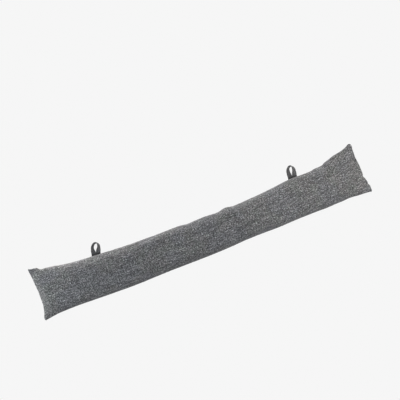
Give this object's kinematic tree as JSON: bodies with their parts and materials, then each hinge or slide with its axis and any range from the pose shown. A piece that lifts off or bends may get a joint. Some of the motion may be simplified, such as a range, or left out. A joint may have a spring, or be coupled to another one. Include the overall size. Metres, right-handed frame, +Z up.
{
  "type": "draught excluder",
  "caption": "Long filled tweed tube, sewn flat at both ends, lying on its side with tape hanging loops along its sewn edge.",
  "frame": {"origin": "on the surface it lies on, under the middle of the whole object, loops included", "axes": "+X along the tube, +Y towards the sewn long edge with the loops, +Z up from the surface"},
  "size_m": [0.9, 0.1416, 0.0748],
  "materials": {
    "tweed": "grey melange wool tweed, matt",
    "tape": "charcoal woven tape, matt"
  },
  "bodies": {
    "root": {"bolster": "tweed", "loop_left": "tape", "loop_right": "tape"}
  },
  "joints": []
}
